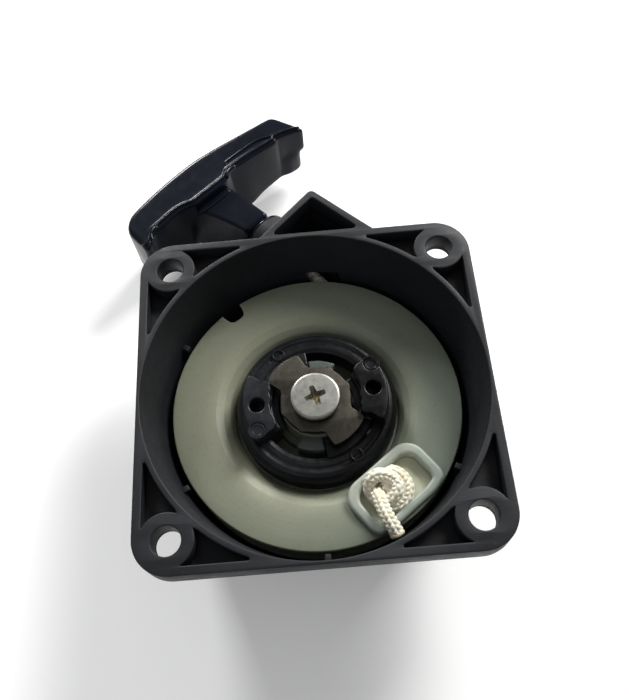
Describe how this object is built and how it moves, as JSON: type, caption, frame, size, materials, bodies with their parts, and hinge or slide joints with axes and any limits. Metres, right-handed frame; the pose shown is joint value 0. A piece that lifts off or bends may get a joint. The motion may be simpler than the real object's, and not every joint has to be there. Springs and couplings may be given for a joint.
{
  "type": "recoil starter",
  "caption": "Rope recoil starter with a spring-returned reel, a twin-dog drive hub and a T-shaped pull handle, in a square-flanged housing.",
  "frame": {"origin": "centre of the closed back of the housing, on the reel axis", "axes": "+Z from the closed back towards the engine side; +Y towards the rope horn; +X completes the frame, along the flange edge"},
  "size_m": [0.0964, 0.1424, 0.035],
  "materials": {
    "housing": "fine satin texture, black",
    "grip": "glossy black with a blue cast",
    "reel": "natural nylon, cream to grey-green",
    "hub": "semi-gloss black",
    "plate": "punched steel, brown-grey",
    "screw": "zinc plated, satin",
    "dark_steel": "oiled steel",
    "spring_steel": "blued spring steel",
    "brass": "plain",
    "rope": "braided white nylon",
    "guide": "smooth blue-black"
  },
  "bodies": {
    "housing": {"housing": "housing", "post_insert": "brass", "spring_case": "dark_steel", "recoil_spring": "spring_steel", "spring_cover": "dark_steel", "screw_washer": "dark_steel", "center_screw": "screw", "rope_guide": "guide"},
    "reel": {"rope_reel": "reel", "thrust_washer": "dark_steel", "retainer_plate": "plate", "damper_spring": "spring_steel", "rope_coil": "rope", "rope_knot": "rope"},
    "drive_hub": {"drive_hub": "hub"},
    "handle": {"handle_grip": "grip", "handle_cap": "grip", "knot_washer": "dark_steel", "handle_knot": "rope", "rope_run": "rope"}
  },
  "joints": [
    {"name": "handle_pull", "type": "slide", "parent": "housing", "child": "handle", "axis": [-0.6361, 0.7716, 0], "range_m": [0, 0.48], "stiffness_N_per_m": 5, "springref_m": -1.5, "deforming": ["rope_run"]},
    {"name": "reel_spin", "type": "hinge", "parent": "housing", "child": "reel", "pos_m": [0, 0, 0.014], "axis": [0, 0, 1], "range_deg": [0, 1010], "deforming": ["recoil_spring"]},
    {"name": "hub_play", "type": "hinge", "parent": "reel", "child": "drive_hub", "pos_m": [0, 0, 0.018], "axis": [0, 0, 1], "range_deg": [0, 27], "stiffness_Nm_per_rad": 0.01, "springref_deg": -28.65, "deforming": ["damper_spring"]}
  ],
  "couplings": [
    {"joint": "reel_spin", "follows": "handle_pull", "rad_per_m": 36.6}
  ]
}
